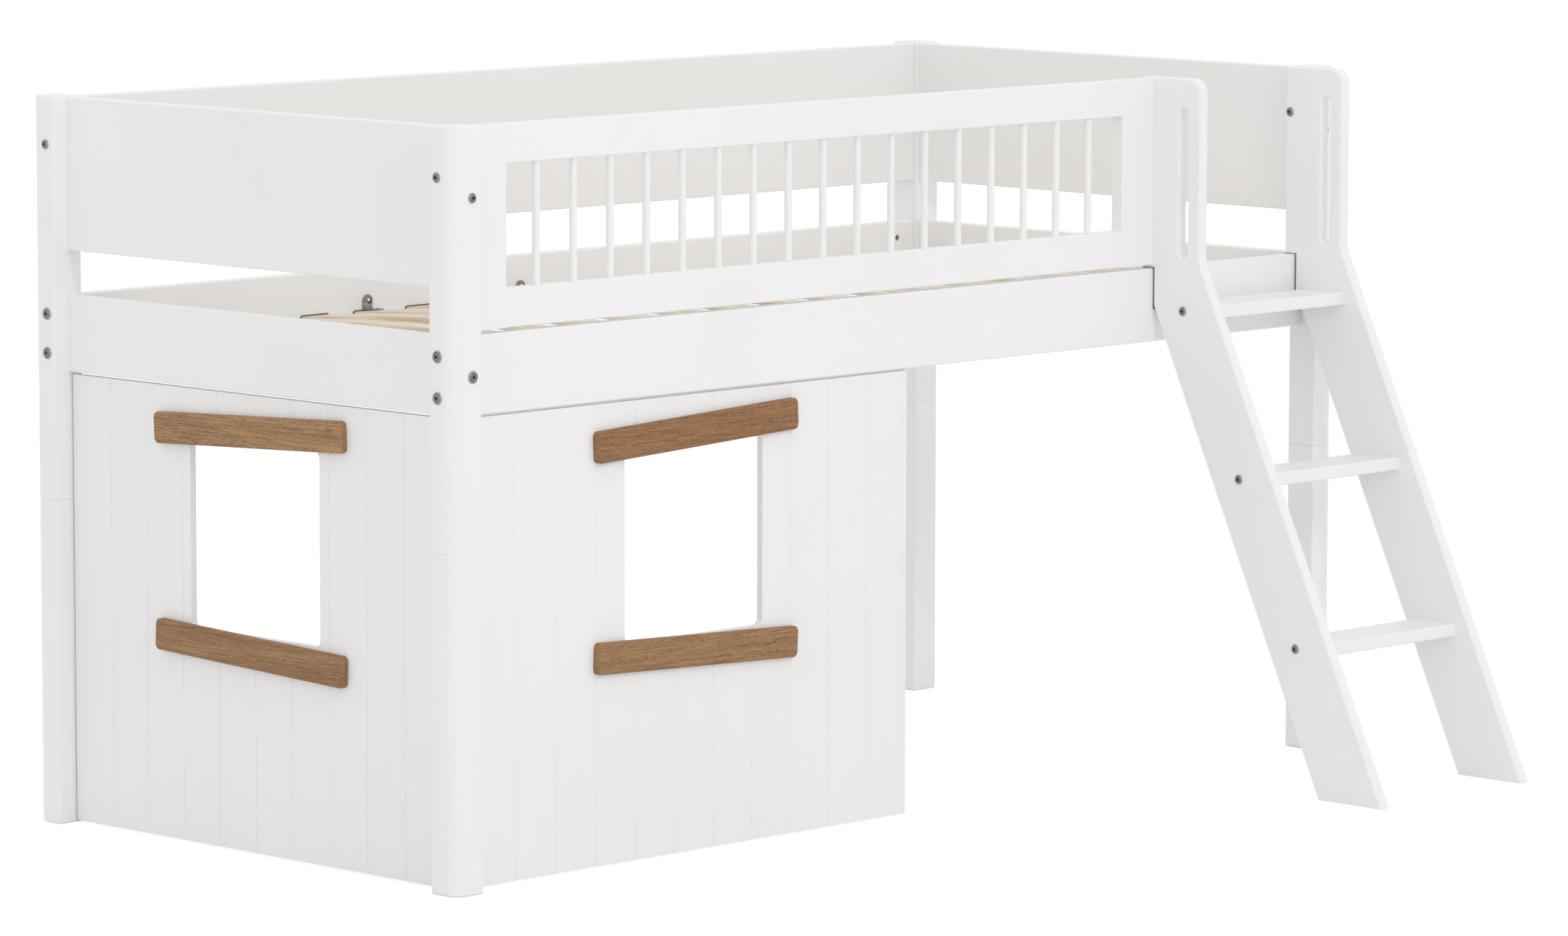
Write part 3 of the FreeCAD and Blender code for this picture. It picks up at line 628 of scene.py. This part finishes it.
def dress_metal(shading):
    """Hooks, clips and brackets."""
    hook = metal("hook_steel", HOOK_STEEL)
    clip = metal("clip_chrome", CLIP_CHROME)
    bracket = metal("bracket_zinc", BRACKET_ZINC)
    dress(("ladder_hook",), hook, METAL_EDGE_WIDTH, shading)
    dress(("slat_clips",), clip, CLIP_EDGE_WIDTH, shading)
    dress(("panel_brackets",), bracket, METAL_EDGE_WIDTH, shading)
    paint = lacquer("lacquer_angles", "X")
    painted = paint_group("painted_angles", PAINTED_ANGLE_LEVEL * MM, paint)
    brackets = frame["nodes"]["panel_brackets"]
    brackets.modifiers.new("painted_angles", "NODES").node_group = painted


# Fasteners, turned from rings of points

def round_shape(angle):
    """A circle."""
    return 1.0


def hexagon_shape(angle):
    """A hexagon inside the circle."""
    side = math.pi / 3
    return math.cos(side / 2) / math.cos(angle % side - side / 2)


def slot_shape(angle):
    """A straight slot."""
    half_width = 0.26
    sine = abs(math.sin(angle))
    return half_width / sine if sine > half_width else 1.0


def cross_shape(angle):
    """A cross recess: a round core with four arms."""
    core = 0.34
    sharpness = 3
    return core + (1 - core) * abs(math.cos(2 * angle)) ** sharpness


def join_loops(mesh, lower, upper, finish):
    """A band of faces between two rings."""
    count = len(lower)
    for step in range(count):
        after = (step + 1) % count
        face = mesh.faces.new((lower[step], lower[after], upper[after], upper[step]))
        face.material_index = finish
        face.smooth = True


def close_loop(mesh, loop, finish):
    """A lid on a ring."""
    face = mesh.faces.new(loop)
    face.material_index = finish


def turned(mesh, middle, normal, rings):
    """One closed head; a ring's finish is that of the band above it."""
    turn = normal.to_track_quat("Z", "Y").to_matrix()
    loops = []
    for ring in rings:
        loop = []
        for step in range(ROUND_STEPS):
            angle = 2 * math.pi * step / ROUND_STEPS
            reach = ring.radius * ring.shape(angle)
            point = Vector((reach * math.cos(angle), reach * math.sin(angle), ring.height))
            loop.append(mesh.verts.new((middle + turn @ point) * MM))
        loops.append(loop)
    close_loop(mesh, loops[0], rings[0].finish)
    for ring, lower, upper in zip(rings, loops, loops[1:]):
        join_loops(mesh, lower, upper, ring.finish)
    close_loop(mesh, loops[-1], rings[-1].finish)


def ring_stack(outline, shape=round_shape, finish=BODY):
    """Rings of one shape and finish from (radius, height) pairs."""
    return tuple(Ring(radius, height, shape, finish) for radius, height in outline)


def dome(outer, inner, low, start, end):
    """Points along a round rim from its outer to its inner radius, between two tilts."""
    bend = (outer - inner) / (math.sin(start) - math.sin(end))
    points = []
    for step in range(RIM_STEPS + 1):
        tilt = start + (end - start) * step / RIM_STEPS
        points.append((outer - bend * (math.sin(start) - math.sin(tilt)),
                       low + bend * (math.cos(tilt) - math.cos(start))))
    return tuple(points)


def bolt_head(radius):
    """A domed rim, a fine groove, a flat round top and a hexagon socket; the rim's lighter finish is
    polish, and partly a painted highlight.
    """
    shaft = ((radius, -HEAD_SINK),)
    rim = dome(radius, radius - RIM_WIDTH, RIM_FOOT, RIM_START, RIM_END)
    crest, height = rim[-1]
    top = crest - GROOVE_WIDTH
    bottom = height - GROOVE_DEPTH
    groove = ((crest - GROOVE_SLOPE, bottom), (top + GROOVE_SLOPE, bottom))
    raised = dome(top, top - TOP_ROUNDING, height, DOME_START, DOME_END)
    level = raised[-1][1]
    edge = tuple((SOCKET_RADIUS + out, level + rise) for out, rise in SOCKET_EDGE)
    socket = ((SOCKET_RADIUS, level - SOCKET_DROP), (SOCKET_RADIUS - SOCKET_TAPER, SOCKET_FLOOR))
    return (ring_stack(shaft + rim, finish=POLISHED_SHEEN) + ring_stack(groove + raised + edge)
            + ring_stack(socket, hexagon_shape, RECESS))


def nut_end():
    """The slotted end of a barrel nut, sunk in its bore."""
    return ring_stack(NUT_OUTLINE) + ring_stack(NUT_SLOT, slot_shape, RECESS)


def screw_head(radius, height):
    """A round head with a cross recess."""
    rounding = dome(radius, SCREW_CROWN * radius, SCREW_SHOULDER * height, DOME_START, DOME_END)
    level = rounding[-1][1]
    cross = ((CROSS_TOP_RADIUS * radius, level - CROSS_DROP),
             (CROSS_FLOOR_RADIUS * radius, CROSS_FLOOR * height))
    return ring_stack(((radius, -HEAD_SINK),) + rounding) + ring_stack(cross, cross_shape, RECESS)


def flat_cap(radius):
    """A flat cap or disc with a rounded rim."""
    rounding = dome(radius, radius - CAP_ROUNDING, CAP_FOOT, DOME_START, DOME_END)
    return ring_stack(((radius, -HEAD_SINK),) + rounding)


def new_piece(name, mesh, materials):
    """A finished mesh as a piece of the bed."""
    data = bpy.data.meshes.new(name)
    bmesh.ops.recalc_face_normals(mesh, faces=mesh.faces)
    mesh.to_mesh(data)
    mesh.free()
    for material in materials:
        data.materials.append(material)
    piece = bpy.data.objects.new(name, data)
    bpy.context.scene.collection.objects.link(piece)
    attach(piece, "root")


def fasteners(name, places, materials):
    """One piece for a set of heads: places are (point, normal, rings)."""
    mesh = bmesh.new()
    for point, normal, rings in places:
        turned(mesh, Vector(point), normal, rings)
    new_piece(name, mesh, materials)


# Where each set of fasteners goes

def post_bolts(side, end):
    """Heads on the two outer faces of one post; side is -1 or 1 along X, end is front or back."""
    big = bolt_head(BIG_BOLT_RADIUS)
    small = bolt_head(SMALL_BOLT_RADIUS)
    line = FRONT_LINE_Y if end == "front" else BACK_LINE_Y
    face = POST_FRONT.low.y if end == "front" else POST_BACK.high.y
    facing = FRONT if end == "front" else BACK
    outward = LEFT if side < 0 else RIGHT
    across = side * POST_FRONT.high.x
    end_line = side * (POST_FRONT.high.x - END_BOLT_INSETS[side])
    places = [((across, line, level), outward, big) for level in RAIL_BOLT_LEVELS]
    places.append(((end_line, face, END_RAIL_LEVEL), facing, big))
    places.append(((end_line, face, END_BOARD_LEVEL), facing, small))
    # The front right post has a painted cap in this place
    if not (side > 0 and end == "front"):
        places.append(((across, line, BOARD_BOLT_LEVEL), outward, small))
    return places


def ladder_bolts(face, outward, inner, inward):
    """Heads beside the treads on an upright's outer side, and one high up on its inner side."""
    small = bolt_head(SMALL_BOLT_RADIUS)
    places = []
    for tread in TREADS:
        spot = tread.middle + TREAD_BOLT_SHIFT
        places.append(((face, spot.y, spot.z), outward, small))
    places.append(((inner, LADDER_TOP_LINE_Y, BOARD_BOLT_LEVEL), inward, small))
    return places


def nut_bores():
    """Middles and outward side of the cross bores in each node that has them."""
    lines = (RAIL_FRONT.low.x + NUT_INSET, RAIL_FRONT.high.x - NUT_INSET)
    rail = [(x, level) for x in lines for level in RAIL_BOLT_LEVELS]
    front = RAIL_FRONT.high.y
    back = RAIL_BACK.low.y
    stile_line = GUARD_STILE.high.x - SHORT_NUT_INSET
    bores = {
        "side_rail_front": ([(x, front, z) for x, z in rail], BACK),
        "side_rail_back": ([(x, back, z) for x, z in rail], FRONT),
        "back_board": ([(x, BACK_BOARD.high.y, BOARD_BOLT_LEVEL) for x in lines], BACK),
        "guard_stile_left": ([(lines[0], front, BOARD_BOLT_LEVEL)], BACK),
        "guard_stile_right": ([(stile_line, front, BOARD_BOLT_LEVEL)], BACK),
    }
    # The bores of both ends look right: inward on the left end, outward on the right end
    end_lines = (END_RAIL.low.y + NUT_INSET, END_RAIL.high.y - NUT_INSET)
    for kind, level in (("end_rail", END_RAIL_LEVEL), ("end_board", END_BOARD_LEVEL)):
        bores[kind + "_left"] = ([(-END_RAIL.low.x, y, level) for y in end_lines], RIGHT)
        bores[kind + "_right"] = ([(END_RAIL.high.x, y, level) for y in end_lines], RIGHT)
    for number, tread in enumerate(TREADS, start=1):
        tread_lines = (tread.low.x + SHORT_NUT_INSET, tread.high.x - SHORT_NUT_INSET)
        bores[f"ladder_tread_{number}"] = ([(x, tread.middle.y, tread.low.z) for x in tread_lines], DOWN)
    return bores


def leg_caps():
    """Caps over the cross pins on the inner faces of the legs and posts."""
    cap = flat_cap(LEG_CAP_RADIUS)
    places = []
    for x in (-POST_FRONT.middle.x, POST_FRONT.middle.x):
        for reach in (-LEG_CAP_REACH, LEG_CAP_REACH):
            level = POST_FRONT.low.z + reach
            places.append(((x, POST_FRONT.high.y, level), BACK, cap))
            places.append(((x, POST_BACK.low.y, level), FRONT, cap))
    return places


def clip_heads(rings, shift):
    """One head on each clip's leg, moved along the rail and up by a shift, and one on its foot."""
    leg_level = CLIPS.high.z - CLIP_SCREW_DROP + shift.z
    foot_level = CLIPS.low.z + CLIP_FOOT_RISE
    places = []
    for number in CLIPPED_SLATS:
        x = SLATS[number - 1].middle.x
        for face, facing in ((RAIL_FRONT.high.y, BACK), (RAIL_BACK.low.y, FRONT)):
            leg = face + facing.y * CLIP_THICKNESS
            foot = face + facing.y * CLIP_FOOT_REACH
            upward = Vector((0, -facing.y * math.sin(SLAT_TILT), math.cos(SLAT_TILT)))
            places.append(((x + shift.x, leg, leg_level), facing, rings))
            places.append(((x, foot, foot_level), upward, rings))
    return places


def bracket_screws():
    """Screws through the brackets into the backs of the panels."""
    screw = screw_head(BRACKET_SCREW_RADIUS, BRACKET_SCREW_HEIGHT)
    end_face = PANEL_END.high.x + BRACKET_THICKNESS
    front_face = PANEL_FRONT.high.y + BRACKET_THICKNESS
    places = []
    for hole in BRACKET_HOLES:
        for level in (PANEL_END.low.z + rise for rise in BRACKET_RISES):
            places.append(((end_face, POST_FRONT.high.y + hole, level), RIGHT, screw))
            places.append(((end_face, POST_BACK.low.y - hole, level), RIGHT, screw))
            places.append(((RAIL_FRONT.low.x + hole, front_face, level), BACK, screw))
        for x in (PANEL_FRONT.high.x - inset for inset in RAIL_BRACKET_INSETS):
            places.append(((x, front_face, RAIL_FRONT.low.z - hole), BACK, screw))
    return places


def build_bolts(socket):
    """Bolts on the posts and the ladder."""
    # Lighter rim: polish, and partly a painted highlight
    polished_sheen = metal("bolt_rim_sheen", BOLT_RIM_SHEEN)
    steel = (metal("bolt_steel", BOLT_STEEL), socket, polished_sheen)
    for side, hand in ((-1, "left"), (1, "right")):
        for end in ("front", "back"):
            fasteners(f"bolts_post_{end}_{hand}", post_bolts(side, end), steel)
    left = ladder_bolts(UPRIGHT_LEFT.low.x, LEFT, UPRIGHT_LEFT.high.x, RIGHT)
    right = ladder_bolts(UPRIGHT_RIGHT.high.x, RIGHT, UPRIGHT_RIGHT.low.x, LEFT)
    fasteners("bolts_ladder_left", left, steel)
    fasteners("bolts_ladder_right", right, steel)


def build_nuts(socket, bores):
    """A barrel nut in every cross bore."""
    steel = (metal("nut_steel", NUT_STEEL), socket)
    nut = nut_end()
    for name, (spots, normal) in bores.items():
        places = [(spot, normal, nut) for spot in spots]
        fasteners("nuts_" + name, places, steel)


def build_screws_and_caps(socket):
    """Small screws of clips and brackets, dark discs of painted shade at the clips, and painted caps on
    posts and legs.
    """
    zinc = (metal("screw_zinc", SCREW_ZINC), socket)
    # The clip screws' light chrome is partly a painted highlight
    bright = (metal("clip_screw_chrome_highlight", CLIP_SCREW_CHROME_HIGHLIGHT), socket)
    dark = (metal("clip_shade_disc_metal", CLIP_SHADE_DISC_METAL),)
    screw = screw_head(CLIP_SCREW_RADIUS, CLIP_SCREW_HEIGHT)
    shade_disc = flat_cap(CLIP_SHADE_DISC_RADIUS)
    fasteners("screws_slat_clips", clip_heads(screw, CLIP_SCREW_SHIFT), bright)
    # Dark discs beside the clip screws: painted shade of the holes and rims
    fasteners("shade_discs_slat_clips", clip_heads(shade_disc, CLIP_SHADE_DISC_SHIFT), dark)
    fasteners("screws_panel_brackets", bracket_screws(), zinc)
    paint = (lacquer("lacquer_caps", "Z"),)
    fasteners("caps_leg_joints", leg_caps(), paint)
    place = (POST_FRONT.high.x, FRONT_LINE_Y, BOARD_BOLT_LEVEL)
    cap = (place, RIGHT, flat_cap(POST_CAP_RADIUS))
    fasteners("cap_post_front_right", (cap,), paint)


# Dark rings of painted shade round the slat ends

def rounded_outline(half_width, half_height, corner):
    """Points round a rectangle with rounded corners."""
    points = []
    for quarter, (sx, sz) in enumerate(((1, 1), (-1, 1), (-1, -1), (1, -1))):
        for step in range(CORNER_STEPS + 1):
            angle = math.pi / 2 * (quarter + step / CORNER_STEPS)
            points.append((sx * (half_width - corner) + corner * math.cos(angle),
                           sz * (half_height - corner) + corner * math.sin(angle)))
    return points


def shade_ring(mesh, slat, face, facing):
    """A thin dark ring round one slat where it enters the rail, painted shade of the gap there."""
    half_width = (slat.high.x - slat.low.x) / 2
    half_height = SLAT_THICKNESS / 2
    middle = Vector((slat.middle.x, face, slat.low.z + SLAT_ENTRY_RISE))
    loops = []
    for grow, rise in SHADE_RING_SECTION:
        outline = rounded_outline(half_width + grow, half_height + grow, SLAT_CORNER + grow)
        points = [(middle + Vector((x, 0, z)) + facing * rise) * MM for x, z in outline]
        loops.append([mesh.verts.new(point) for point in points])
    for lower, upper in zip(loops, loops[1:] + loops[:1]):
        join_loops(mesh, lower, upper, BODY)


def build_shade_rings():
    """Dark rings of painted shade along both side rails."""
    # Dark grey rings: painted shade of the gap at each slat end
    grey = moulded("shade_ring_grey", SHADE_RING_GREY)
    rows = (("shade_rings_front", RAIL_FRONT.high.y, BACK), ("shade_rings_back", RAIL_BACK.low.y, FRONT))
    for name, face, facing in rows:
        mesh = bmesh.new()
        for slat in SLATS:
            shade_ring(mesh, slat, face, facing)
        new_piece(name, mesh, (grey,))


# Seal over the front panel

def build_seal():
    """A soft strip in the joint between the front panel and its rail."""
    line = PANEL_FRONT.low.y + SEAL_LINE
    level = (PANEL_FRONT.high.z + RAIL_FRONT.low.z) / 2
    left = PANEL_FRONT.low.x + SEAL_INSET
    right = PANEL_FRONT.high.x - SEAL_INSET
    sections = [(left + inset, shrink) for inset, shrink in SEAL_ENDS]
    sections += [(right - inset, shrink) for inset, shrink in reversed(SEAL_ENDS)]
    mesh = bmesh.new()
    loops = []
    for x, shrink in sections:
        outline = rounded_outline(SEAL_DEPTH / 2 - shrink, SEAL_HEIGHT / 2 - shrink, SEAL_CORNER - shrink)
        points = [Vector((x, line + y, level + z)) * MM for y, z in outline]
        loops.append([mesh.verts.new(point) for point in points])
    close_loop(mesh, loops[0], BODY)
    for lower, upper in zip(loops, loops[1:]):
        join_loops(mesh, lower, upper, BODY)
    close_loop(mesh, loops[-1], BODY)
    new_piece("seal_front_panel", mesh, (moulded("seal_pale", SEAL_PALE),))


# Studio

def seen_directly(tree):
    """1 for rays that show the background: camera, glossy and transmission rays."""
    path = tree.nodes.new("ShaderNodeLightPath")
    pair = {0: path.outputs["Is Camera Ray"], 1: path.outputs["Is Glossy Ray"]}
    first = add_node(tree, "ShaderNodeMath", pair, operation="MAXIMUM")
    pair = {0: first.outputs[0], 1: path.outputs["Is Transmission Ray"]}
    return add_node(tree, "ShaderNodeMath", pair, operation="MAXIMUM").outputs[0]


def build_sky():
    """An even pale surround, white where it is seen."""
    world = bpy.data.worlds.new("studio")
    world.use_nodes = True
    tree = world.node_tree
    tree.nodes.clear()
    light = add_node(tree, "ShaderNodeBackground", {"Color": WHITE, "Strength": SKY_LIGHT})
    shown = add_node(tree, "ShaderNodeBackground", {"Color": WHITE, "Strength": 1.0})
    parts = {0: seen_directly(tree), 1: light.outputs[0], 2: shown.outputs[0]}
    mixed = add_node(tree, "ShaderNodeMixShader", parts)
    add_node(tree, "ShaderNodeOutputWorld", {"Surface": mixed.outputs[0]})
    bpy.context.scene.world = world


def floor_material():
    """A pale matt floor that is shown almost white and keeps the object's shadow."""
    material = bpy.data.materials.new("studio_floor")
    material.use_nodes = True
    tree = material.node_tree
    tree.nodes.clear()
    matt = add_node(tree, "ShaderNodeBsdfDiffuse", {"Color": FLOOR_WHITE, "Roughness": 0.5})
    shade = add_node(tree, "ShaderNodeBsdfDiffuse", {"Color": FLOOR_SHADE, "Roughness": 0.5})
    glow = add_node(tree, "ShaderNodeEmission", {"Color": WHITE, "Strength": FLOOR_GLOW})
    pale = add_node(tree, "ShaderNodeAddShader", {0: shade.outputs[0], 1: glow.outputs[0]})
    parts = {0: seen_directly(tree), 1: matt.outputs[0], 2: pale.outputs[0]}
    mixed = add_node(tree, "ShaderNodeMixShader", parts)
    add_node(tree, "ShaderNodeOutputMaterial", {"Surface": mixed.outputs[0]})
    return material


def build_floor():
    """A wide plain floor."""
    data = bpy.data.meshes.new("studio_floor")
    outline = [(-FLOOR_HALF, -FLOOR_HALF, 0), (FLOOR_HALF, -FLOOR_HALF, 0),
               (FLOOR_HALF, FLOOR_HALF, 0), (-FLOOR_HALF, FLOOR_HALF, 0)]
    data.from_pydata(outline, [], [(0, 1, 2, 3)])
    data.materials.append(floor_material())
    floor = bpy.data.objects.new("studio_floor", data)
    bpy.context.scene.collection.objects.link(floor)


def aim(thing, place, target, roll=0.0):
    """Points a lamp or camera from one place to another."""
    direction = Vector(target) - Vector(place)
    turn = direction.to_track_quat("-Z", "Y").to_matrix() @ Matrix.Rotation(roll, 3, "Z")
    thing.matrix_world = Matrix.Translation(place) @ turn.to_4x4()


def build_key_light():
    """One round lamp to the right of the camera."""
    lamp = bpy.data.lights.new("key_light", "AREA")
    lamp.shape = "DISK"
    lamp.size = KEY_SIZE
    lamp.energy = KEY_POWER
    key = bpy.data.objects.new("key_light", lamp)
    bpy.context.scene.collection.objects.link(key)
    aim(key, KEY_PLACE, KEY_TARGET)


def build_camera():
    """The camera at the photograph's angle."""
    data = bpy.data.cameras.new("camera")
    data.sensor_fit = "HORIZONTAL"
    data.sensor_width = CAMERA_SENSOR
    data.lens = CAMERA_LENS
    data.clip_end = CAMERA_REACH
    camera = bpy.data.objects.new("camera", data)
    bpy.context.scene.collection.objects.link(camera)
    aim(camera, CAMERA_PLACE, CAMERA_TARGET, CAMERA_ROLL)
    bpy.context.scene.camera = camera


def clear_start_scene():
    """Removes what was in the scene before the frame."""
    kept = set(frame["nodes"].values()) | set(frame["bodies"].values())
    for thing in list(bpy.data.objects):
        if thing not in kept:
            bpy.data.objects.remove(thing)


def build():
    """Dresses the nodes, then adds fasteners, dark rings of painted shade at the slat ends, seal, floor,
    light and camera.
    """
    shading = shading_group()
    bores = nut_bores()
    dress_wood(shading, bores)
    dress_trims(shading)
    dress_metal(shading)
    # The recesses get a near black finish, partly painted shade
    socket = moulded("socket_shade", SOCKET_SHADE)
    build_bolts(socket)
    build_nuts(socket, bores)
    build_screws_and_caps(socket)
    build_shade_rings()
    build_seal()
    build_sky()
    build_floor()
    build_key_light()
    build_camera()
    bpy.context.scene.view_settings.view_transform = "Standard"


clear_start_scene()
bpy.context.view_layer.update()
build()
